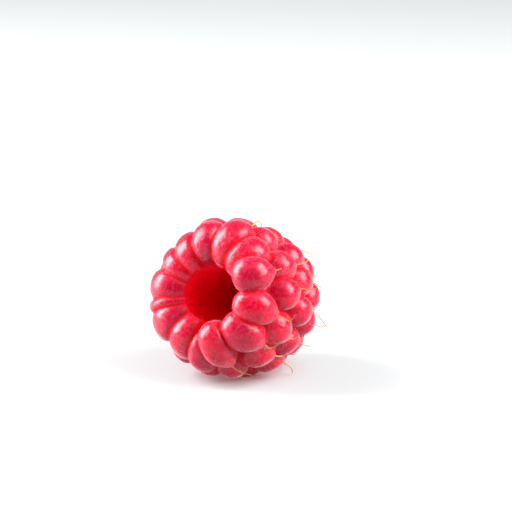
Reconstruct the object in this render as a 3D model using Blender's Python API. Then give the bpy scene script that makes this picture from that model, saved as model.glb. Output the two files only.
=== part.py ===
"""A picked raspberry lying on its side, as one hollow fruit of fused drupelets.

The fruit is modelled upright in its own frame: the local Z axis is the axis of the berry and points out of
its open mouth, and depth runs the other way, from the mouth row of drupelets (depth 0) to the tip. The
finished fruit is then laid down on its side, tipped until its tapering flank lies along the ground, and the
drupelets that carry it are pressed flat at Z = 0.
"""

import math
from typing import NamedTuple

import bpy
from mathutils import Matrix

# Driving dimensions, in metres and degrees.
MM = 0.001
MOUTH_ROW_RADIUS = 7.3 * MM  # berry axis to the middle of a mouth drupelet
LIE_ANGLE = 17.0  # how far the mouth looks up when the tapering flank lies on the ground
MOUTH_CENTRE_Y = -7.715 * MM  # places the fruit so that its box is centred on the origin
MOUTH_CENTRE_Z = 12.72 * MM
CAVITY_RADIUS = 4.2 * MM  # the hollow left by the receptacle, just inside the mouth
CAVITY_DEPTH = 12.6 * MM
GROUND_BLOCK = 60 * MM  # the cube that stands in for the ground

# Mesh fineness of the plain solid.
DRUPELET_SEGMENTS = 10
DRUPELET_RINGS = 8
TURNED_STEPS = 28

FRUIT_RED = (0.62, 0.012, 0.045, 1.0)
FRUIT_ROUGHNESS = 0.45


class Row(NamedTuple):
    """One ring of drupelets round the berry; lengths in millimetres, angles in degrees."""

    depth: float  # mouth row to the drupelets' middles, along the axis
    radius: float  # axis to the drupelets' middles
    lean: float  # how far the drupelets point towards the tip, 0 is straight out
    width: float  # half width round the berry
    height: float  # half width along the flank
    length: float  # half length, outwards
    angles: tuple  # round the axis, 0 is the berry's right side and 90 its top


# The mouth row grew unevenly: (angle, half width, depth shift, radius shift) of each drupelet, in the
# same units as a Row.
MOUTH_ROW = (
    (24, 2.40, -1.1, 0.0),
    (50, 2.70, 0.2, 0.2),
    (77, 2.60, 0.2, 0.2),
    (105, 2.35, 0.2, 0.0),
    (130, 2.10, 0.2, -0.4),
    (151, 1.90, 0.2, -0.4),
    (176, 2.35, 0.0, -0.1),
    (197, 1.75, 0.1, 0.0),
    (221, 2.35, 0.2, 0.1),
    (247, 2.35, 0.2, 0.0),
    (270, 2.20, 0.9, 0.5),
    (291, 2.25, -0.3, -0.2),
    (325, 2.75, 0.0, 0.0),
    (352, 2.50, -0.4, -0.1),
)
MOUTH_DEPTH = 0.2
MOUTH_LEAN = 20
MOUTH_HEIGHT = 2.4
MOUTH_LENGTH = 3.2

ROWS = (
    Row(4.3, 8.75, 14, 3.0, 3.0, 2.4, (11, 37, 64, 88, 115, 142, 166, 190, 215, 240, 264, 288, 312, 341)),
    Row(8.5, 8.60, 22, 3.0, 3.0, 2.4, (23, 48, 74, 100, 126, 152, 178, 204, 231, 257, 283, 307, 330, 357)),
    Row(12.6, 7.30, 38, 2.9, 2.9, 2.3, (14, 42, 71, 99, 127, 156, 185, 214, 242, 270, 297, 323, 348)),
    Row(15.9, 4.90, 55, 2.7, 2.8, 2.2, (6, 46, 86, 126, 166, 206, 246, 286, 326)),
    Row(17.9, 2.00, 75, 2.4, 2.4, 2.2, (30, 120, 210, 300)),
)

# Half section (radius, depth) in millimetres of the flesh that joins the drupelets behind their skins.
FLESH_SECTION = (
    (0.0, -0.6),
    (5.2, -0.6),
    (7.6, -0.4),
    (8.8, 2.0),
    (9.3, 4.5),
    (9.2, 8.5),
    (7.7, 12.6),
    (5.2, 16.0),
    (2.4, 18.6),
    (0.0, 19.3),
)

# Half section of the hollow, as shares of its radius and depth; it flares out through the mouth.
CAVITY_TAPER = (
    (0.00, -0.25),
    (1.45, -0.25),
    (1.10, -0.08),
    (1.00, 0.05),
    (0.97, 0.25),
    (0.86, 0.50),
    (0.66, 0.74),
    (0.40, 0.92),
    (0.00, 1.00),
)


def clear_scene():
    for obj in list(bpy.data.objects):
        bpy.data.objects.remove(obj, do_unlink=True)


def hide_helper(obj):
    obj.hide_render = True
    obj.display_type = "WIRE"


def drupelet_places():
    """The matrix of every drupelet, which makes a unit ball into that drupelet in the fruit's own frame."""
    for angle, width, deeper, further in MOUTH_ROW:
        radius = MOUTH_ROW_RADIUS / MM + further
        half_sizes = (MOUTH_HEIGHT, width, MOUTH_LENGTH)
        yield place(angle, MOUTH_DEPTH + deeper, radius, MOUTH_LEAN, half_sizes)
    for row in ROWS:
        for angle in row.angles:
            yield place(angle, row.depth, row.radius, row.lean, (row.height, row.width, row.length))


def place(angle, depth, radius, lean, half_sizes):
    """The matrix of one drupelet; half_sizes are along the flank, round the berry and outwards."""
    around = Matrix.Rotation(math.radians(angle), 4, "Z")
    outwards = Matrix.Rotation(math.radians(90 + lean), 4, "Y")
    middle = Matrix.Translation((radius * MM, 0, -depth * MM))
    stretch = Matrix.Diagonal((*(size * MM for size in half_sizes), 1))
    return around @ middle @ outwards @ stretch


def add_drupelets():
    """Every drupelet as its own ball, in one helper collection for the union."""
    collection = bpy.data.collections.new("drupelets")
    bpy.context.scene.collection.children.link(collection)
    for number, matrix in enumerate(drupelet_places(), start=1):
        bpy.ops.mesh.primitive_uv_sphere_add(segments=DRUPELET_SEGMENTS, ring_count=DRUPELET_RINGS)
        drupelet = bpy.context.object
        drupelet.name = f"drupelet_{number:02d}"
        drupelet.data.transform(matrix)
        bpy.context.collection.objects.unlink(drupelet)
        collection.objects.link(drupelet)
        hide_helper(drupelet)
    return collection


def add_turned(name, section):
    """A solid of revolution about the axis, from a half section of (radius, depth) in millimetres."""
    mesh = bpy.data.meshes.new(name)
    points = [(radius * MM, 0, -depth * MM) for radius, depth in section]
    mesh.from_pydata(points, [(i, i + 1) for i in range(len(points) - 1)], [])
    turned = bpy.data.objects.new(name, mesh)
    bpy.context.scene.collection.objects.link(turned)
    screw = turned.modifiers.new("turn", "SCREW")
    screw.axis = "Z"
    screw.steps = screw.render_steps = TURNED_STEPS
    screw.use_merge_vertices = True
    screw.merge_threshold = 0.00001
    return turned


def add_boolean(obj, name, operation, other):
    boolean = obj.modifiers.new(name, "BOOLEAN")
    boolean.operation = operation
    boolean.solver = "EXACT"
    if isinstance(other, bpy.types.Collection):
        boolean.operand_type = "COLLECTION"
        boolean.collection = other
    else:
        boolean.object = other
    return boolean


def add_ground_cutter():
    """A block whose top is the ground, for the flats of the drupelets that carry the fruit."""
    bpy.ops.mesh.primitive_cube_add(size=GROUND_BLOCK, location=(0, 0, -GROUND_BLOCK / 2))
    cutter = bpy.context.object
    cutter.name = "ground_cutter"
    hide_helper(cutter)
    return cutter


def fruit_material():
    material = bpy.data.materials.new("fruit_flesh")
    material.use_nodes = True
    shader = material.node_tree.nodes["Principled BSDF"]
    shader.inputs["Base Color"].default_value = FRUIT_RED
    shader.inputs["Roughness"].default_value = FRUIT_ROUGHNESS
    shader.inputs["Metallic"].default_value = 0.0
    return material


def lay_down(objects):
    """Tips the objects onto the fruit's flank, carried by an empty at the middle of the mouth row."""
    pose = bpy.data.objects.new("lying_pose", None)
    bpy.context.scene.collection.objects.link(pose)
    pose.location = (0, MOUTH_CENTRE_Y, MOUTH_CENTRE_Z)
    pose.rotation_euler = (math.radians(90 - LIE_ANGLE), 0, 0)
    for obj in objects:
        obj.parent = pose
    return pose


def main():
    clear_scene()
    drupelets = add_drupelets()
    fruit = add_turned("fruit", FLESH_SECTION)
    cavity_section = [(r * CAVITY_RADIUS / MM, d * CAVITY_DEPTH / MM) for r, d in CAVITY_TAPER]
    cavity = add_turned("cavity_cutter", cavity_section)
    hide_helper(cavity)
    lay_down([fruit, cavity, *drupelets.objects])
    add_boolean(fruit, "join_drupelets", "UNION", drupelets)
    add_boolean(fruit, "hollow", "DIFFERENCE", cavity)
    add_boolean(fruit, "flats", "DIFFERENCE", add_ground_cutter())
    fruit.data.materials.append(fruit_material())


main()
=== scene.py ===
"""A picked raspberry lying on its side: fused drupelets round a hollow, dried styles and fine down.

Each piece is modelled in millimetres in the fruit's own frame: Z is the axis of the berry and points
out of its open mouth, X is the berry's right and Y its upper side. Depth is measured from the mouth
towards the tip. lay_down() then turns a finished piece onto its flank and gives it its real size in
metres. A drupelet has a frame of its own: X towards the berry's tip, Y round the berry and Z outwards.
"""

import math
from typing import NamedTuple

import bpy
import numpy as np
from mathutils import Matrix, Vector


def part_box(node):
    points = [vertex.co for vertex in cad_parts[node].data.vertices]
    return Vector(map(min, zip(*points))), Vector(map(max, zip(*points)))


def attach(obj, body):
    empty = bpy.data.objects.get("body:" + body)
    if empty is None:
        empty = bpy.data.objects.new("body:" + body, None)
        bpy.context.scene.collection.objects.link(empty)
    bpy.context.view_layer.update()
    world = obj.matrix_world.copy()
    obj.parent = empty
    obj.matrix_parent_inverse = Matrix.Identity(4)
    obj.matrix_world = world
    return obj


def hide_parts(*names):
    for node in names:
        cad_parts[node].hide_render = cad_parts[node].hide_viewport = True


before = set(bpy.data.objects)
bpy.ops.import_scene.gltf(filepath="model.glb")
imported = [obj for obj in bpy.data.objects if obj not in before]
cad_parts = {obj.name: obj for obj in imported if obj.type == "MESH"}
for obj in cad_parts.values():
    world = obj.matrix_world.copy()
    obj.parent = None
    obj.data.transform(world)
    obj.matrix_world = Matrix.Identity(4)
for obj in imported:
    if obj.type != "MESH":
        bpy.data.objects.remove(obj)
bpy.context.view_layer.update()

MM = 0.001
LOW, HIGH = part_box("fruit")
LIE_ANGLE = 17.0  # how far the mouth looks up as the berry lies
MOUTH_BEHIND_FRONT = 4.37 * MM
MOUTH_ABOVE_GROUND = 12.72 * MM
MOUTH_CENTRE = Vector(((LOW.x + HIGH.x) / 2, LOW.y + MOUTH_BEHIND_FRONT, LOW.z + MOUTH_ABOVE_GROUND))
ONTO_FLANK = Matrix.Rotation(math.radians(90 - LIE_ANGLE), 4, "X")
TO_ROW_FRAME = Matrix.Translation(MOUTH_CENTRE) @ ONTO_FLANK @ Matrix.Scale(MM, 4)

CAVITY_RADIUS = 4.2
CAVITY_DEPTH = 12.6
SKIN_FINENESS = 0.188  # size of the facets that the fused skin is made of

rng = np.random.default_rng(7)


# ---------------------------------------------------------------------------------------- drupelets


class Row(NamedTuple):
    """One ring of drupelets round the berry; lengths in millimetres, angles in degrees."""

    depth: float
    radius: float
    lean: float
    width: float
    height: float
    length: float
    angles: tuple


class Drupelet(NamedTuple):
    """One drupelet: matrix makes the unit ball into it, and its style grew at point on that ball."""

    name: str
    matrix: Matrix
    point: Vector
    drawn_out: bool
    flowing: bool  # whether its inner end flows into the wall of the hollow
    arch: float  # how far its two ends curl towards the tip


# The mouth row: (angle, half width, shifts of depth, radius and half length, lean and swing of the
# point, arch).
MOUTH_ROW = (
    (29, 2.50, -1.1, 0.3, -0.60, 14, -20, 0.0),
    (52, 2.60, 0.2, 0.2, 0.0, 30, 0, 0.15),
    (75, 2.50, 0.2, 0.5, 0.35, 30, 0, 0.25),
    (103, 2.25, 0.2, 0.1, 0.0, 30, 10, 0.30),
    (129, 2.20, 0.2, -0.4, 0.0, 30, 0, 0.40),
    (151, 1.95, 0.2, -0.4, 0.0, 30, -10, 0.40),
    (179, 2.60, 0.0, -0.1, 0.0, 30, 0, 0.40),
    (199, 1.40, 0.1, 0.0, 0.0, 30, 0, 0.40),
    (217, 2.75, 0.1, 0.1, 0.0, 30, 10, 0.40),
    (246, 2.45, 0.1, -0.4, 0.0, 30, 0, 0.40),
    (270, 2.10, 0.7, 0.3, 0.0, 30, 0, 0.20),
    (294, 2.30, -0.6, -0.5, -0.05, 20, 10, 0.0),
    (327, 2.60, -0.2, 0.0, -0.25, 30, 0, 0.0),
    (356, 2.45, -0.4, 0.1, -0.35, 25, -22, 0.0),
)
DRAWN_OUT = (0, 11, 12, 13)  # the drupelets of the mouth row that end in a point
ROUND_TAPERS = ((1.0, 0.07), (0.25, 0.05))  # (reach, pull) of each pull on a drupelet's point
DRAWN_TAPERS = ((1.3, 0.16), (0.7, 0.12), (0.3, 0.06))

# Those of the mouth row whose inner ends flow into the wall of the hollow; the others hang over it whole.
FLOWING = (4, 5, 6, 7, 8, 9)
WHOLE = tuple(number for number in range(len(MOUTH_ROW)) if number not in FLOWING)
FLOWING_SIDE = (118, 258)  # the angles that the flowing ones lie between
FLOWING_LONGER = 0.80
FLOWING_CLOSER = 0.45
FLOWING_CURL = 1.05  # how far their inner ends curl down into the hollow
FLOWING_WEDGE = 0.40  # how much narrower those ends are
WEDGE_END = -1.4  # beyond this share of its half length, a wedge gets no narrower

MOUTH_RADIUS = 7.3
MOUTH_DEPTH = 0.2
MOUTH_LEAN = 20
MOUTH_HEIGHT = 2.4
MOUTH_LENGTH = 3.2

ROW_ANGLES = (
    (11, 37, 64, 88, 115, 142, 166, 190, 215, 240, 264, 288, 312, 341),
    (23, 48, 74, 100, 126, 152, 178, 204, 231, 257, 283, 307, 330, 357),
    (14, 42, 71, 99, 127, 156, 185, 214, 242, 270, 297, 323, 348),
    (6, 46, 86, 126, 166, 206, 246, 286, 326),
    (30, 120, 210, 300),
)
ROWS = (
    Row(4.3, 8.55, 14, 2.32, 2.50, 2.70, ROW_ANGLES[0]),
    Row(8.5, 8.40, 22, 2.32, 2.50, 2.70, ROW_ANGLES[1]),
    Row(12.6, 7.15, 38, 2.20, 2.45, 2.55, ROW_ANGLES[2]),
    Row(15.9, 4.75, 55, 2.05, 2.35, 2.45, ROW_ANGLES[3]),
    Row(17.7, 1.90, 75, 1.95, 2.00, 2.40, ROW_ANGLES[4]),
)
UNEVEN = {"angle": 1.8, "depth": 0.18, "radius": 0.12, "size": 0.04}  # how much the rows vary
PLUMPNESS = 2.35  # 2 is a ball, more is fuller in the corners
POINT_LEAN = 32  # the angle from a drupelet's outward end to its point, towards the tip
POINT_LEAN_VARIES = 10
POINT_SWING_VARIES = 45

# Where the wall of the hollow gives way to skin: distances from the wall, and depths, of the change.
SUDDEN_CHANGE = ((0.25, 0.9), (-0.9, 0.4))
SLOW_CHANGE = ((0.0, 1.8), (-1.9, 1.2))
WHOLE_SKIN = (-0.02, 0.10)  # the skin of a whole drupelet is no wall, this near to its swollen ball
BELOW_BOTTOM = 0.8  # the wall ends this far under the bottom of the hollow
RIM_SHARE = 0.88  # of the radius of the hollow
RIM_REACH = (0.7, 2.0)  # how far the rim goes outwards and along the axis

# The wall of the hollow: the low back of each drupelet behind it, with a torn scar.
SCAR_DEPTH_SHARE = 0.68  # the drupelets grow out from the wall and lean back
SCAR_ASTRAY = (0.15, 0.6)  # how far a scar strays from there: its angle in radians, its depth
SCAR_STRENGTH = (-0.1, 1.0)  # below 0 there is no scar
SCAR_TURN = 1.2  # radians
SCAR_SIZE = (0.16, 0.34)
SCAR_DENT = 0.25
BUMP_SIZE = 0.85
BUMP_HEIGHT = 0.22

# A crease is where the skin is as near to one drupelet as to the next. A gap is how much nearer it is to
# one than to the other, as a share of a drupelet's size.
CREASE_GAP = 0.22  # how far a crease spreads
CREASE_DENT = 0.13
CREASE_FADE = (0.0, 3.5)  # the depths between which the creases die out on the wall of the hollow
CROWN_GAPS = (0.01, 0.20)  # from the bottom of a crease to the bloomy skin
MIDDLE_GAPS = (0.25, 0.75)  # from there to the middle of a drupelet, painted darker as shade
INNER_END = (0.5, 2.8)  # the flowing drupelets get painted shade this near to the wall of the hollow

STYLE_RADIUS = 0.082
STYLE_ENDS = (1.5, 0.5)  # its thickness at its root and its tip, in STYLE_RADIUS
STYLE_ROOTED = 0.25  # how deep it stands in the skin
STYLE_STUB = 0.12  # how far it stands out before it curls
STYLE_LENGTH = (0.35, 0.95)
STYLE_CURL = 0.8
STYLE_SHARE = 0.7  # of the other drupelets, how many have kept their style
# The styles that stand out, by their drupelet: the steps of a curl outwards, towards the tip and
# round the berry.
STYLE_SHAPES = {
    "mouth_29": ((0.35, 0.05, 0.0), (0.25, 0.10, 0.15)),
    "mouth_294": ((1.20, 0.0, 1.20), (1.10, 0.10, 1.80), (-0.30, 0.0, 0.40)),
    "mouth_327": ((0.65, 0.0, 0.0), (0.44, 0.0, 0.90), (0.30, 0.05, 1.30)),
    "mouth_356": ((0.70, 0.0, -0.10), (0.65, 0.0, -0.12), (0.30, 0.0, 0.50), (0.13, 0.0, 0.68)),
    "row_1_11": ((0.80, 0.0, -0.45), (1.30, 0.10, 0.07)),
    "row_1_64": ((0.20, 0.90, -0.10), (-0.10, 0.10, -0.90)),
    "row_1_88": ((0.70, 0.90, 0.0), (-0.20, 0.70, -0.40), (-0.60, 0.0, 0.0)),
    "row_1_312": ((0.60, 1.10, 0.20), (0.20, 0.60, 0.10)),
    "row_1_341": ((0.35, 0.05, 0.30), (0.30, 0.05, 0.95)),
    "row_2_23": ((0.50, 0.50, -0.30), (0.40, 0.30, -0.50)),
    "row_2_48": ((0.40, 0.30, -0.50), (0.20, 0.40, -0.70)),
    "row_2_357": ((0.60, 0.50, -0.60), (1.00, 1.20, -1.10), (0.30, 0.30, -0.50)),
}
HAIRS = 18000
HAIR_LENGTH = (0.18, 0.42)
HAIR_RADIUS = 0.010
HAIR_LEAN = 0.45
HAIR_BEND = 0.35
BARE_MIDDLE = 0.60  # how much thinner the down is on the middle of a drupelet

# Half section (radius, depth) of the flesh that joins the drupelets behind their skins.
FLESH_SECTION = (
    (0.0, 1.3),
    (4.6, 1.3),
    (6.4, 0.6),
    (7.8, 0.8),
    (8.3, 2.4),
    (8.7, 4.5),
    (8.6, 8.5),
    (7.3, 12.6),
    (4.9, 16.0),
    (2.3, 18.2),
    (0.0, 19.0),
)
# Half section of the hollow, as shares of its radius and depth.
CAVITY_TAPER = (
    (0.00, -0.25),
    (0.90, -0.25),
    (0.85, -0.11),
    (0.86, -0.02),
    (0.92, 0.08),
    (0.97, 0.20),
    (0.86, 0.50),
    (0.66, 0.74),
    (0.40, 0.92),
    (0.00, 1.00),
)
OPEN_AIR = 99.0  # the radius of the hollow in front of its mouth, wider than the berry


def on_ball(lean, swing):
    """A point on the unit ball, leaning from its outward end to the berry's tip and swung round it."""
    lean, swing = math.radians(lean), math.radians(swing)
    aside = math.sin(lean)
    return Vector((aside * math.cos(swing), aside * math.sin(swing), math.cos(lean)))


def place(angle, depth, radius, lean, half_sizes):
    """The matrix of one drupelet; half_sizes are along the flank, round the berry and outwards."""
    around = Matrix.Rotation(math.radians(angle), 4, "Z")
    outwards = Matrix.Rotation(math.radians(90 + lean), 4, "Y")
    return around @ Matrix.Translation((radius, 0, -depth)) @ outwards @ Matrix.Diagonal((*half_sizes, 1))


def all_drupelets():
    """The mouth row as the table gives it, then the other rows, each a little uneven."""
    found = []
    for number, (angle, width, deeper, further, longer, lean, swing, arch) in enumerate(MOUTH_ROW):
        flowing = number in FLOWING
        if flowing:
            longer += FLOWING_LONGER
            further -= FLOWING_CLOSER
        half_sizes = (MOUTH_HEIGHT, width, MOUTH_LENGTH + longer)
        matrix = place(angle, MOUTH_DEPTH + deeper, MOUTH_RADIUS + further, MOUTH_LEAN, half_sizes)
        point = on_ball(lean, swing)
        found.append(Drupelet(f"mouth_{angle}", matrix, point, number in DRAWN_OUT, flowing, arch))
    for number, row in enumerate(ROWS, start=1):
        for angle in row.angles:
            shift = {what: rng.uniform(-most, most) for what, most in UNEVEN.items()}
            half_sizes = np.array((row.height, row.width, row.length)) * (1 + shift["size"])
            depth, radius = row.depth + shift["depth"], row.radius + shift["radius"]
            matrix = place(angle + shift["angle"], depth, radius, row.lean, half_sizes)
            lean = POINT_LEAN + rng.uniform(-POINT_LEAN_VARIES, POINT_LEAN_VARIES)
            point = on_ball(lean, rng.uniform(-POINT_SWING_VARIES, POINT_SWING_VARIES))
            found.append(Drupelet(f"row_{number}_{angle}", matrix, point, False, False, 0.0))
    return found


# --------------------------------------------------------------------------------- modelling by hand


def deselect_all():
    bpy.ops.object.select_all(action="DESELECT")


def make_active(obj):
    deselect_all()
    obj.select_set(True)
    bpy.context.view_layer.objects.active = obj


def in_edit_mode(obj):
    make_active(obj)
    bpy.ops.object.mode_set(mode="EDIT")
    bpy.ops.mesh.select_mode(type="VERT")
    bpy.ops.mesh.select_all(action="DESELECT")


def leave_edit_mode():
    bpy.ops.object.mode_set(mode="OBJECT")


def select_points(obj, wanted):
    """Selects, in edit mode, the points for which wanted(place) holds."""
    leave_edit_mode()
    for point in obj.data.vertices:
        point.select = wanted(point.co)
    bpy.ops.object.mode_set(mode="EDIT")


def weld(distance=0.001):
    """In edit mode, closes the seams of the selected mesh and turns its faces outwards."""
    bpy.ops.mesh.select_all(action="SELECT")
    bpy.ops.mesh.remove_doubles(threshold=distance)
    bpy.ops.mesh.normals_make_consistent(inside=False)


def apply_modifier(obj, kind, **settings):
    make_active(obj)
    modifier = obj.modifiers.new(kind.lower(), kind)
    for name, value in settings.items():
        setattr(modifier, name, value)
    bpy.ops.object.modifier_apply(modifier=modifier.name)


def copy_of(obj, name, matrix):
    copied = obj.copy()
    copied.data = obj.data.copy()
    copied.name = name
    copied.data.transform(matrix)
    bpy.context.scene.collection.objects.link(copied)
    return copied


def join(objects, name):
    """Makes one object of them, named and selected."""
    deselect_all()
    for obj in objects:
        obj.select_set(True)
    bpy.context.view_layer.objects.active = objects[0]
    bpy.ops.object.join()
    joined = bpy.context.object
    joined.name = name
    return joined


def turned(name, section, steps):
    """A closed solid of revolution about the axis, from a half section of (radius, depth)."""
    deselect_all()
    bpy.ops.mesh.primitive_plane_add(size=1)
    solid = bpy.context.object
    solid.name = name
    bpy.ops.object.mode_set(mode="EDIT")
    bpy.ops.mesh.merge(type="CENTER")
    bpy.ops.transform.translate(value=(section[0][0], 0, -section[0][1]))
    for (radius, depth), (next_radius, next_depth) in zip(section, section[1:]):
        step = (next_radius - radius, 0, depth - next_depth)
        bpy.ops.mesh.extrude_region_move(TRANSFORM_OT_translate={"value": step})
    bpy.ops.mesh.select_all(action="SELECT")
    bpy.ops.mesh.spin(steps=steps, angle=math.tau, center=(0, 0, 0), axis=(0, 0, 1))
    weld()
    leave_edit_mode()
    return solid


def plump(points):
    """How far out points are on a swollen ball: 1 on its skin, which bulges towards the corners."""
    return (np.abs(points) ** PLUMPNESS).sum(axis=-1) ** (1 / PLUMPNESS)


def model_drupelet(name, tapers):
    """One drupelet of unit half width: a ball drawn out to the little point that carried its style."""
    deselect_all()
    bpy.ops.mesh.primitive_uv_sphere_add(segments=28, ring_count=20, radius=1)
    drupelet = bpy.context.object
    drupelet.name = name
    for reach, pull in tapers:
        in_edit_mode(drupelet)
        highest = max(point.co.z for point in drupelet.data.vertices)
        select_points(drupelet, lambda co: co.z >= highest)
        bpy.ops.transform.translate(
            value=(0, 0, pull),
            use_proportional_edit=True,
            proportional_edit_falloff="SMOOTH",
            proportional_size=reach,
        )
        leave_edit_mode()
    return drupelet


def arched(drupelet, z):
    """How far a drupelet curls towards the berry's tip, along its length."""
    inner_arch = FLOWING_CURL if drupelet.flowing else drupelet.arch
    return np.where(z < 0, inner_arch, drupelet.arch) * z**2


def narrowed(drupelet, z):
    """How wide a drupelet is along its length; one that flows into the hollow ends as a wedge."""
    wedge = FLOWING_WEDGE if drupelet.flowing else 0.0
    return 1 + wedge * np.clip(z, WEDGE_END, 0)


def shape_drupelet(ball, drupelet):
    """Pressed between its neighbours, a drupelet swells into their corners and arches over the rim."""
    co = points_of(ball.data)
    distance = np.linalg.norm(co, axis=1, keepdims=True)
    co *= distance / plump(co)[:, None]
    co[:, 0] += arched(drupelet, co[:, 2])
    co[:, 1] *= narrowed(drupelet, co[:, 2])
    set_points(ball.data, co)
    ball.data.transform(drupelet.matrix)


def to_ball(drupelet, co):
    """The inverse: where points of the berry are on a drupelet's unit ball, before it swelled."""
    inverse = np.array(drupelet.matrix.inverted())
    local = co @ inverse[:3, :3].T + inverse[:3, 3]
    local[:, 0] -= arched(drupelet, local[:, 2])
    local[:, 1] /= narrowed(drupelet, local[:, 2])
    return local


def lay_down(obj):
    """The finished piece goes onto its flank and gets its real size; its place is in its mesh."""
    obj.data.transform(TO_ROW_FRAME)
    obj.data.update()


def points_of(mesh):
    co = np.zeros(len(mesh.vertices) * 3, np.float32)
    mesh.vertices.foreach_get("co", co)
    return co.reshape(-1, 3).astype(float)


def normals_of(mesh):
    normals = np.zeros(len(mesh.vertices) * 3, np.float32)
    mesh.vertex_normals.foreach_get("vector", normals)
    return normals.reshape(-1, 3).astype(float)


def set_points(mesh, co):
    mesh.vertices.foreach_set("co", co.astype(np.float32).ravel())
    mesh.update()


def press_flat(mesh, height):
    """Nothing of the laid-down mesh stays lower than height."""
    co = points_of(mesh)
    co[:, 2] = np.maximum(co[:, 2], height)
    set_points(mesh, co)


def unit(vectors):
    return vectors / np.linalg.norm(vectors, axis=1, keepdims=True)


def smoothstep(low, high, value):
    t = np.clip((value - low) / (high - low), 0, 1)
    return t * t * (3 - 2 * t)


# ------------------------------------------------------------------------------------------- flesh


def from_wall(co):
    """How far points are outside the wall of the hollow."""
    radii, depths = np.array(CAVITY_TAPER[1:]).T
    radii, depths = radii * CAVITY_RADIUS, depths * CAVITY_DEPTH
    return np.hypot(co[:, 0], co[:, 1]) - np.interp(-co[:, 2], depths, radii, left=OPEN_AIR, right=0.0)


def surroundings(co, drupelets):
    """For points of the skin: the nearest drupelet, how far they are from the crease round it, and their
    place on its unit ball."""
    balls = np.array([to_ball(drupelet, co) for drupelet in drupelets])
    around = plump(balls)
    order = np.argsort(around, axis=0)[:2]
    columns = np.arange(len(co))
    nearest = order[0]
    gap = around[order[1], columns] - around[nearest, columns]
    return nearest, gap, balls[nearest, columns]


def in_hollow(co, flowing):
    """1 on the wall of the hollow, 0 on the drupelets; it fades slowly where they flow into the wall."""
    distance, depth = from_wall(co), -co[:, 2]

    def change(distances, depths):
        return (1 - smoothstep(*distances, distance)) * smoothstep(*depths, depth)

    wall = np.where(flowing, change(*SLOW_CHANGE), change(*SUDDEN_CHANGE))
    return wall * (depth < CAVITY_DEPTH + BELOW_BOTTOM)


def soften_rim(flesh):
    """Rounds the edge where the flowing drupelets meet the wall of the hollow."""
    co = points_of(flesh.data)
    angle = np.mod(np.degrees(np.arctan2(co[:, 1], co[:, 0])), 360)
    flowing_side = (angle > FLOWING_SIDE[0]) & (angle < FLOWING_SIDE[1])
    outwards = np.abs(np.hypot(co[:, 0], co[:, 1]) - RIM_SHARE * CAVITY_RADIUS)
    near_rim = (outwards < RIM_REACH[0]) & (np.abs(co[:, 2]) < RIM_REACH[1])
    group = flesh.vertex_groups.new(name="rim")
    group.add(np.flatnonzero(flowing_side & near_rim).tolist(), 1.0, "REPLACE")
    apply_modifier(flesh, "SMOOTH", factor=0.5, iterations=5, vertex_group="rim")


def write_attribute(mesh, name, values):
    attribute = mesh.attributes.new(name, "FLOAT", "POINT")
    attribute.data.foreach_set("value", values.astype(np.float32))


def attribute_of(mesh, name):
    values = np.zeros(len(mesh.vertices), np.float32)
    mesh.attributes[name].data.foreach_get("value", values)
    return values


def scar_places(drupelets):
    """(angle, depth, strength, turn) of the scar of each drupelet behind the wall of the hollow."""
    places = []
    for drupelet in drupelets[len(MOUTH_ROW):]:
        middle = drupelet.matrix.translation
        angle = math.atan2(middle.y, middle.x) + rng.uniform(-SCAR_ASTRAY[0], SCAR_ASTRAY[0])
        depth = -middle.z * SCAR_DEPTH_SHARE + rng.uniform(-SCAR_ASTRAY[1], SCAR_ASTRAY[1])
        places.append((angle, depth, rng.uniform(*SCAR_STRENGTH), rng.uniform(-SCAR_TURN, SCAR_TURN)))
    return places


def shape_wall(co, wall, drupelets):
    """Low bumps on the wall of the hollow, the backs of the drupelets, each with the scar where the fruit
    tore off its cone; gives the scars as 0 to 1."""
    angle = np.arctan2(co[:, 1], co[:, 0])
    radius = np.hypot(co[:, 0], co[:, 1])
    bump = np.zeros(len(co))
    scar = np.zeros(len(co))
    for scar_angle, scar_depth, strength, turn in scar_places(drupelets):
        aside = (np.mod(angle - scar_angle + np.pi, math.tau) - np.pi) * radius
        along = -co[:, 2] - scar_depth
        bump = np.maximum(bump, np.exp(-(aside**2 + along**2) / (2 * BUMP_SIZE**2)))
        across = (aside * math.cos(turn) - along * math.sin(turn)) / SCAR_SIZE[0]
        down = (aside * math.sin(turn) + along * math.cos(turn)) / SCAR_SIZE[1]
        scar = np.maximum(scar, max(strength, 0) * np.exp(-(across**2 + down**2) / 2))
    inwards = wall * (BUMP_HEIGHT * bump - SCAR_DENT * scar)
    co[:, :2] *= 1 - (inwards / np.maximum(radius, 1.0))[:, None]
    return scar * wall


def swollen_balls(drupelets):
    """Each drupelet as a mesh of its own, with its little point where its style grew."""
    round_model = model_drupelet("round_drupelet", ROUND_TAPERS)
    drawn_model = model_drupelet("drawn_drupelet", DRAWN_TAPERS)
    balls = []
    for drupelet in drupelets:
        to_point = drupelet.point.to_track_quat("Z", "Y").to_matrix().to_4x4()
        model = drawn_model if drupelet.drawn_out else round_model
        balls.append(copy_of(model, drupelet.name, to_point))
        shape_drupelet(balls[-1], drupelet)
    for model in (round_model, drawn_model):
        bpy.data.objects.remove(model, do_unlink=True)
    return balls


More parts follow.
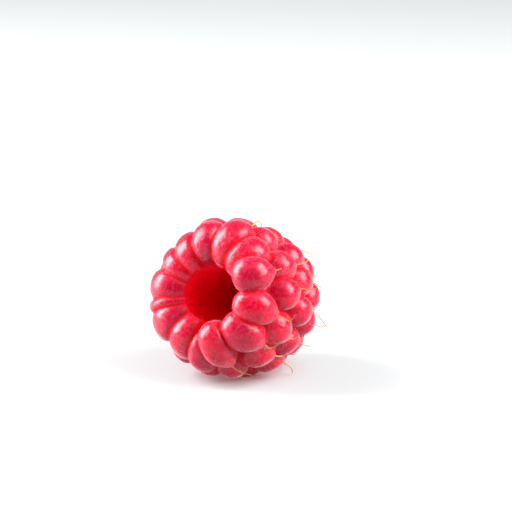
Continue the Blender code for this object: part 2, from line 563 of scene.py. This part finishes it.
def fuse(drupelets):
    """All the flesh in one skin. The hollow is cut through the ends of the flowing drupelets, and the
    whole ones are added after it."""
    balls = swollen_balls(drupelets)
    whole_balls = [balls[number] for number in WHOLE]
    cut_balls = [ball for number, ball in enumerate(balls) if number not in WHOLE]
    flesh = join([turned("core", FLESH_SECTION, 48), *cut_balls], "flesh")
    apply_modifier(flesh, "REMESH", mode="VOXEL", voxel_size=SKIN_FINENESS)
    section = [(radius * CAVITY_RADIUS, depth * CAVITY_DEPTH) for radius, depth in CAVITY_TAPER]
    cutter = turned("hollow_cutter", section, 96)
    apply_modifier(flesh, "BOOLEAN", object=cutter, operation="DIFFERENCE", solver="EXACT")
    bpy.data.objects.remove(cutter, do_unlink=True)
    flesh = join([flesh, *whole_balls], "flesh")
    apply_modifier(flesh, "REMESH", mode="VOXEL", voxel_size=SKIN_FINENESS)
    apply_modifier(flesh, "SMOOTH", factor=0.5, iterations=2)
    soften_rim(flesh)
    return flesh


def shape_skin(mesh, drupelets):
    """Dents the creases and shapes the wall of the hollow, and keeps for the material what is where."""
    co = points_of(mesh)
    nearest, gap, ball = surroundings(co, drupelets)
    flowing = np.isin(nearest, FLOWING)
    wall = in_hollow(co, flowing)
    wall *= np.where(np.isin(nearest, WHOLE), smoothstep(*WHOLE_SKIN, plump(ball) - 1), 1)
    points = np.array([drupelet.point for drupelet in drupelets])[nearest]
    apex = np.degrees(np.arccos(np.clip((unit(ball) * points).sum(1), -1, 1)))
    tone = rng.uniform(0, 1, len(drupelets))[nearest]

    crease = (1 - smoothstep(0.0, CREASE_GAP, gap)) * (1 - wall * smoothstep(*CREASE_FADE, -co[:, 2]))
    co -= normals_of(mesh) * (CREASE_DENT * crease)[:, None]
    scar = shape_wall(co, wall, drupelets)
    set_points(mesh, co)

    # The inner ends of the flowing drupelets count as middle, so they get the painted shade of the
    # middles.
    inner_end = flowing * (1 - smoothstep(*INNER_END, from_wall(co)))
    write_attribute(mesh, "crown", smoothstep(*CROWN_GAPS, gap) * (1 - wall))
    write_attribute(mesh, "middle", np.maximum(smoothstep(*MIDDLE_GAPS, gap), inner_end))
    write_attribute(mesh, "apex", apex)
    write_attribute(mesh, "tone", tone)
    write_attribute(mesh, "hollow", wall)
    write_attribute(mesh, "scar", scar)
    write_attribute(mesh, "depth", np.clip(-co[:, 2], 0, CAVITY_DEPTH) / CAVITY_DEPTH)


def build_flesh(drupelets):
    """The fruit itself: its drupelets, its hollow and the finish of its skin, in one closed piece."""
    flesh = fuse(drupelets)
    shape_skin(flesh.data, drupelets)
    make_active(flesh)
    bpy.ops.object.shade_smooth()
    lay_down(flesh)
    press_flat(flesh.data, LOW.z)  # the drupelets that carry the berry
    flesh.data.materials.clear()
    flesh.data.materials.append(flesh_material())
    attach(flesh, "root")
    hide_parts("fruit")
    return flesh


# ------------------------------------------------------------------------------- styles and down


def directions_at(drupelet, on_skin):
    """Outwards, towards the tip and round the berry, at a place on the skin."""
    outwards = Vector((on_skin.x, on_skin.y, 0)).normalized()
    lean = drupelet.matrix.to_3x3().inverted().transposed() @ drupelet.point
    outwards = (outwards + lean.normalized()).normalized()
    around = Vector((0, 0, 1)).cross(outwards).normalized()
    return outwards, around.cross(outwards), around


def random_steps():
    """The curl of an ordinary dried style, as steps outwards, towards the tip and round the berry."""
    length = rng.uniform(*STYLE_LENGTH)
    curl = rng.uniform(-STYLE_CURL, STYLE_CURL, 2)
    steps = []
    for bend in (0.0, 0.6, 1.4):
        out = length * (1.0 - 0.5 * bend)
        tip = length * (0.45 + curl[0] * bend)
        steps.append((out, tip, length * curl[1] * bend))
    return steps


def point_on_skin(drupelet):
    """Where the little point of a drupelet is on the berry."""
    tapers = DRAWN_TAPERS if drupelet.drawn_out else ROUND_TAPERS
    reach = 1 + sum(pull for _, pull in tapers)
    spot = drupelet.point * (reach / float(plump(np.array(drupelet.point))))
    spot.x += float(arched(drupelet, spot.z))
    return drupelet.matrix @ spot


def build_style(drupelet, steps):
    """One dried style: a thread that thins out from the little point of its drupelet along the steps."""
    root = point_on_skin(drupelet)
    outwards, to_tip, around = directions_at(drupelet, root)
    places = [root - outwards * STYLE_ROOTED, root + outwards * STYLE_STUB]
    for out, tip, side in steps:
        places.append(places[-1] + outwards * out + to_tip * tip + around * side)
    deselect_all()
    bpy.ops.curve.primitive_nurbs_path_add()
    style = bpy.context.object
    style.name = "style_" + drupelet.name
    curve = style.data
    spline = curve.splines[0]
    spline.points.add(max(0, len(places) - len(spline.points)))
    places += [places[-1]] * (len(spline.points) - len(places))
    for thickness, point, at in zip(np.linspace(*STYLE_ENDS, len(places)), spline.points, places):
        point.co = (*at, 1)
        point.radius = thickness
    spline.order_u = 3
    spline.use_endpoint_u = True
    curve.bevel_depth = STYLE_RADIUS
    curve.bevel_resolution = 1
    curve.resolution_u = 5
    curve.use_fill_caps = True
    make_active(style)
    bpy.ops.object.convert(target="MESH")
    in_edit_mode(style)
    weld()
    leave_edit_mode()
    co = points_of(style.data)
    write_attribute(style.data, "along", np.linalg.norm(co - np.array(root), axis=1))
    return style


def build_styles(drupelets):
    """The styles that the drupelets have kept, in one piece; those that hang low rest on the ground."""
    styles = []
    for drupelet in drupelets:
        steps = STYLE_SHAPES.get(drupelet.name)
        if steps is None and rng.uniform() < STYLE_SHARE:
            steps = random_steps()
        if steps:
            styles.append(build_style(drupelet, steps))
    joined = join(styles, "dried_styles")
    make_active(joined)
    bpy.ops.object.shade_smooth()
    lay_down(joined)
    press_flat(joined.data, LOW.z + STYLE_RADIUS * MM)
    joined.data.materials.clear()
    joined.data.materials.append(style_material())
    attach(joined, "root")


def model_hair():
    """The points and faces of one hair of the down, one unit long and thick, closed at its root."""
    deselect_all()
    bpy.ops.mesh.primitive_cone_add(vertices=3, radius1=1, radius2=0, depth=1, location=(0, 0, 0.5))
    hair = bpy.context.object
    in_edit_mode(hair)
    bpy.ops.mesh.select_all(action="SELECT")
    bpy.ops.mesh.bisect(plane_co=(0, 0, 0.5), plane_no=(0, 0, 1))
    leave_edit_mode()
    shape = points_of(hair.data)
    faces = [tuple(polygon.vertices) for polygon in hair.data.polygons]
    bpy.data.objects.remove(hair, do_unlink=True)
    return shape, faces


def hair_roots(mesh):
    """Where the hairs grow, and which way is up there. They are thick on the flanks of the drupelets, and
    there are none in the creases and the hollow."""
    mesh.calc_loop_triangles()
    corners = np.zeros(len(mesh.loop_triangles) * 3, np.int32)
    mesh.loop_triangles.foreach_get("vertices", corners)
    corners = corners.reshape(-1, 3)
    share = attribute_of(mesh, "crown") ** 2 * (1 - BARE_MIDDLE * attribute_of(mesh, "middle"))
    sides = points_of(mesh)[corners]
    area = np.linalg.norm(np.cross(sides[:, 1] - sides[:, 0], sides[:, 2] - sides[:, 0]), axis=1)
    weight = area * share[corners].mean(axis=1)
    picked = rng.choice(len(corners), HAIRS, p=weight / weight.sum())
    shares = rng.dirichlet((1, 1, 1), HAIRS)[:, :, None]
    roots = (sides[picked] * shares).sum(axis=1)
    up = (normals_of(mesh)[corners[picked]] * shares).sum(axis=1)
    return roots, up


def build_down(flesh):
    """Short pale hairs all over the outer skin, in one piece."""
    roots, up = hair_roots(flesh.data)
    up = unit(up + rng.normal(0, HAIR_LEAN, up.shape))
    side = unit(np.cross(up, rng.normal(0, 1, up.shape)))
    other = np.cross(up, side)
    length = rng.uniform(*HAIR_LENGTH, HAIRS)[:, None] * MM
    bend = side * length * rng.uniform(0.0, HAIR_BEND, (HAIRS, 1))
    thick = HAIR_RADIUS * MM

    shape, faces = model_hair()
    points = np.zeros((HAIRS, len(shape), 3))
    for number, (x, y, z) in enumerate(shape):
        points[:, number] = roots + side * x * thick + other * y * thick + up * length * z + bend * z * z
    all_faces = []
    for first in range(0, HAIRS * len(shape), len(shape)):
        all_faces += [[first + corner for corner in face] for face in faces]
    mesh = bpy.data.meshes.new("down")
    mesh.from_pydata(points.reshape(-1, 3).tolist(), [], all_faces)
    press_flat(mesh, LOW.z)
    down = bpy.data.objects.new("down", mesh)
    bpy.context.scene.collection.objects.link(down)
    mesh.materials.append(down_material())
    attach(down, "root")


# --------------------------------------------------------------------------------------- materials


class Value:
    """A socket of a shader tree, with the arithmetic that adds its Math nodes."""

    def __init__(self, shader, socket):
        self.shader = shader
        self.socket = socket

    def math(self, operation, first, second):
        return self.shader.node("ShaderNodeMath", {"operation": operation}, [first, second])

    def __add__(self, other):
        return self.math("ADD", self, other)

    def __radd__(self, other):
        return self.math("ADD", other, self)

    def __sub__(self, other):
        return self.math("SUBTRACT", self, other)

    def __rsub__(self, other):
        return self.math("SUBTRACT", other, self)

    def __mul__(self, other):
        return self.math("MULTIPLY", self, other)

    def __rmul__(self, other):
        return self.math("MULTIPLY", other, self)

    def between(self, low, high):
        """0 below low, 1 above high, and a soft step from one to the other."""
        settings = {"interpolation_type": "SMOOTHSTEP"}
        inputs = {"Value": self, "From Min": low, "From Max": high}
        return self.shader.node("ShaderNodeMapRange", settings, inputs)


class Shader:
    """A material's node tree, in which any node comes from one method."""

    def __init__(self, name):
        self.material = bpy.data.materials.new(name)
        self.material.use_nodes = True
        self.tree = self.material.node_tree
        self.surface = self.tree.nodes["Principled BSDF"]
        self.output = self.tree.nodes["Material Output"]

    def node(self, kind, settings=None, inputs=None, output=0):
        made = self.tree.nodes.new(kind)
        for name, value in (settings or {}).items():
            setattr(made, name, value)
        pairs = inputs.items() if isinstance(inputs, dict) else enumerate(inputs or [])
        for key, value in pairs:
            self.connect(made.inputs[key], value)
        return Value(self, made.outputs[output])

    def connect(self, socket, value):
        if isinstance(value, Value):
            self.tree.links.new(value.socket, socket)
        else:
            socket.default_value = value

    def set(self, **values):
        """Sets the surface's sockets, named with underscores for spaces."""
        for name, value in values.items():
            self.connect(self.surface.inputs[name.replace("_", " ")], value)

    def second_surface(self, share, **values):
        """A second finish that takes over from the first where share is 1."""
        inputs = {name.replace("_", " "): value for name, value in values.items()}
        second = self.node("ShaderNodeBsdfPrincipled", None, inputs)
        first = Value(self, self.surface.outputs[0])
        mixed = self.node("ShaderNodeMixShader", None, [share, first, second])
        self.connect(self.output.inputs["Surface"], mixed)

    def attribute(self, name):
        return self.node("ShaderNodeAttribute", {"attribute_name": name}, output="Fac")

    def place(self):
        return self.node("ShaderNodeTexCoord", output="Object")

    def noise(self, size_mm, detail=2.0, roughness=0.5, distortion=0.0):
        inputs = {
            "Vector": self.place(),
            "Scale": 1 / (size_mm * MM),
            "Detail": detail,
            "Roughness": roughness,
            "Distortion": distortion,
        }
        return self.node("ShaderNodeTexNoise", None, inputs, output="Fac")

    def mix(self, share, first, second):
        inputs = {0: share, 6: first, 7: second}
        return self.node("ShaderNodeMix", {"data_type": "RGBA"}, inputs, output=2)

    def bump(self, height, strength, distance_mm, under=None):
        inputs = {"Height": height, "Strength": strength, "Distance": distance_mm * MM}
        if under is not None:
            inputs["Normal"] = under
        return self.node("ShaderNodeBump", None, inputs, output="Normal")


RIPE_RED = (0.47, 0.0005, 0.020, 1)
DEEP_RED = (0.35, 0.0005, 0.025, 1)
CREASE_GLOW_RED = (0.55, 0.0006, 0.009, 1)  # in the creases, brighter as painted glow through the flesh
PORE_RED = (0.15, 0.0002, 0.004, 1)
POINT_PALE = (0.34, 0.19, 0.15, 1)  # where the style grew
# Pale frost: the real bloom, laid on thicker on the flanks of the drupelets as a painted sheen.
BLOOM_AND_SHEEN_PINK = (0.36, 0.15, 0.22, 1)
RIM_GLOW_RED = (0.85, 0.003, 0.026, 1)  # of the hollow's wall; partly painted glow through the flesh
# Deeper in the hollow the wall is darker: painted shade.
SHADED_BOTTOM_RED = (0.66, 0.003, 0.026, 1)
SCAR_RED = (0.10, 0.0, 0.001, 1)

STYLE_TAN = (0.36, 0.175, 0.045, 1)
STYLE_STRAW = (0.44, 0.25, 0.08, 1)
STYLE_TIP = (0.18, 0.062, 0.012, 1)

DOWN_PINK = (0.35, 0.21, 0.22, 1)
DOWN_PALE = (0.37, 0.28, 0.28, 1)


def flesh_material():
    """Glossy red skin under a thin frost, with painted sheen on the flanks of the drupelets and painted
    shade on their middles, and a softer, juicier finish in the creases and the hollow, with painted glow
    through the flesh there and painted shade deep in the hollow.
    """
    shader = Shader("fruit_flesh")
    crown = shader.attribute("crown")
    middle = shader.attribute("middle")
    tone = shader.attribute("tone")
    hollow = shader.attribute("hollow")
    depth = shader.attribute("depth")
    scar = shader.attribute("scar")
    point = 1 - shader.attribute("apex").between(4.0, 9.0)

    clouds = shader.noise(1.6, 2.0).between(0.35, 0.65)
    mottle = shader.noise(0.40, 3.0, 0.65).between(0.46, 0.66)
    grain = shader.noise(0.12, 2.0, 0.6)
    ripe = shader.mix(tone, RIPE_RED, DEEP_RED)
    # More frost on the flanks than on the middle of a drupelet: real bloom, plus a painted sheen on the
    # flanks and painted shade on the middle.
    flank = crown * (1 - middle * 0.8)
    bloom_and_sheen = flank * (clouds * 0.06 + mottle * (0.05 + clouds * 0.13))
    skin = shader.mix(bloom_and_sheen, ripe, BLOOM_AND_SHEEN_PINK)
    # Real dark pores, with more of them on the middles of the drupelets as painted shade.
    pores_and_shade = shader.noise(0.27, 3.0).between(0.50, 0.66) * crown * (0.35 + middle * 0.38)
    skin = shader.mix(pores_and_shade, skin, PORE_RED)
    skin = shader.mix(point * crown * 0.8, skin, POINT_PALE)
    # Painted glow at the rim of the hollow, painted shade towards its bottom, and the real torn scars.
    wall = shader.mix(depth, RIM_GLOW_RED, SHADED_BOTTOM_RED)
    wall = shader.mix(scar * 0.85, wall, SCAR_RED)
    # The creases get a brighter red as painted glow through the flesh, and the hollow gets its wall.
    glow_shade_and_scars = shader.mix(hollow, CREASE_GLOW_RED, wall)

    fine = shader.bump(grain, 0.3, 0.010)
    uneven = shader.bump(mottle, 0.4, 0.03, fine)
    shader.set(
        Base_Color=skin,
        Roughness=0.22 + mottle * 0.14,
        Normal=uneven,
        IOR=1.45,
        Specular_IOR_Level=0.34,
        Subsurface_Weight=0.50,
        Subsurface_Radius=(1.0, 0.10, 0.08),
        Subsurface_Scale=0.8 * MM,
        Sheen_Weight=0.60,
        Sheen_Roughness=0.28,
        Sheen_Tint=(1.0, 0.68, 0.76, 1),
    )
    shader.second_surface(
        1 - crown * (1 - hollow),
        Base_Color=glow_shade_and_scars,
        Roughness=0.5,
        Normal=fine,
        Specular_IOR_Level=0.08,
        Subsurface_Weight=0.8,
        Subsurface_Radius=(1.0, 0.06, 0.05),
        Subsurface_Scale=2.2 * MM,
    )
    return shader.material


def style_material():
    """Dry and tan, browner towards the tip of a style."""
    shader = Shader("dried_style")
    along = shader.attribute("along").between(0.8, 3.2)
    fibre = shader.noise(0.5, 2.0)
    colour = shader.mix(along, shader.mix(fibre, STYLE_TAN, STYLE_STRAW), STYLE_TIP)
    shader.set(Base_Color=colour, Roughness=0.45, Subsurface_Weight=0.15, Subsurface_Scale=0.1 * MM)
    return shader.material


def down_material():
    shader = Shader("pale_down")
    tint = shader.mix(shader.noise(2.0), DOWN_PINK, DOWN_PALE)
    shader.set(Base_Color=tint, Roughness=0.5)
    return shader.material


# ------------------------------------------------------------------------------------------- scene

FLOOR_SIZE = 2.4
FLOOR_BELOW = 0.02 * MM  # the berry
FLOOR_WHITE = (0.31, 0.33, 0.327, 1)
FLOOR_GLOW = (0.37, 0.375, 0.375, 1)
PAINTED_SHADOW_GLOW = (0.20, 0.21, 0.208, 1)
PAINTED_RED_SHADOW_GLOW = (0.19, 0.06, 0.065, 1)
WORLD_STRENGTH = 0.12
SOFTBOX_WHITE = (1.0, 0.97, 1.0)


def build_floor():
    """A plain white surface that glows a little, less near the berry and red under it: a painted shadow.
    """
    deselect_all()
    bpy.ops.mesh.primitive_plane_add(size=FLOOR_SIZE)
    floor = bpy.context.object
    floor.name = "floor"
    floor.data.transform(Matrix.Translation((0, 0, LOW.z - FLOOR_BELOW)))
    shader = Shader("white_floor")
    away = shader.node("ShaderNodeVectorMath", {"operation": "LENGTH"}, [shader.place()], output="Value")
    # Painted shadow: the floor glows less near the berry.
    glow = shader.mix(away.between(8 * MM, 45 * MM), PAINTED_SHADOW_GLOW, FLOOR_GLOW)
    # Painted contact shadow under the berry, tinted as if by red light thrown from it.
    glow = shader.mix(away.between(4 * MM, 11 * MM), PAINTED_RED_SHADOW_GLOW, glow)
    shader.set(Base_Color=FLOOR_WHITE, Roughness=0.6, IOR=1.3, Emission_Color=glow, Emission_Strength=1.0)
    floor.data.materials.append(shader.material)


def direction(azimuth, elevation):
    """From the berry towards something at that azimuth (0 is in front of the mouth, 90 on the right)."""
    azimuth, elevation = math.radians(azimuth), math.radians(elevation)
    flat = math.cos(elevation)
    return Vector((math.sin(azimuth) * flat, -math.cos(azimuth) * flat, math.sin(elevation)))


def add_softbox(name, azimuth, elevation, distance, size, power, colour=(1, 1, 1)):
    """A rectangular lamp that faces the berry."""
    light = bpy.data.lights.new(name, "AREA")
    light.shape = "RECTANGLE"
    light.size, light.size_y = size
    light.energy = power
    light.color = colour
    lamp = bpy.data.objects.new(name, light)
    lamp.location = direction(azimuth, elevation) * distance
    lamp.rotation_euler = direction(azimuth, elevation).to_track_quat("Z", "Y").to_euler()
    bpy.context.scene.collection.objects.link(lamp)


def light_studio():
    world = bpy.data.worlds.new("studio")
    world.use_nodes = True
    background = world.node_tree.nodes["Background"]
    background.inputs["Color"].default_value = (1, 1, 1, 1)
    background.inputs["Strength"].default_value = WORLD_STRENGTH
    bpy.context.scene.world = world
    add_softbox("left_softbox", -66, 28, 0.40, (0.26, 0.38), 7.6, SOFTBOX_WHITE)
    add_softbox("right_softbox", 106, 38, 0.42, (0.32, 0.36), 6.1, SOFTBOX_WHITE)
    add_softbox("top_softbox", 50, 66, 0.60, (0.30, 0.30), 0.6)
    bpy.context.scene.view_settings.view_transform = "Standard"


VIEW_AZIMUTH = 33
VIEW_ELEVATION = 15
VIEW_DISTANCE = 0.292  # from the middle of the mouth
VIEW_ASIDE = 6.365 * MM
VIEW_ABOVE = 5.338 * MM


def add_camera():
    back = direction(VIEW_AZIMUTH, VIEW_ELEVATION)
    right = direction(VIEW_AZIMUTH + 90, 0)
    up = back.cross(right)
    camera = bpy.data.objects.new("camera", bpy.data.cameras.new("camera"))
    camera.data.lens = 150
    camera.data.sensor_width = 36
    camera.data.clip_start = 0.01
    camera.location = MOUTH_CENTRE + back * VIEW_DISTANCE + right * VIEW_ASIDE + up * VIEW_ABOVE
    camera.rotation_euler = back.to_track_quat("Z", "Y").to_euler()
    bpy.context.scene.collection.objects.link(camera)
    bpy.context.scene.camera = camera


berry = all_drupelets()
flesh = build_flesh(berry)
build_styles(berry)
build_down(flesh)
build_floor()
light_studio()
add_camera()
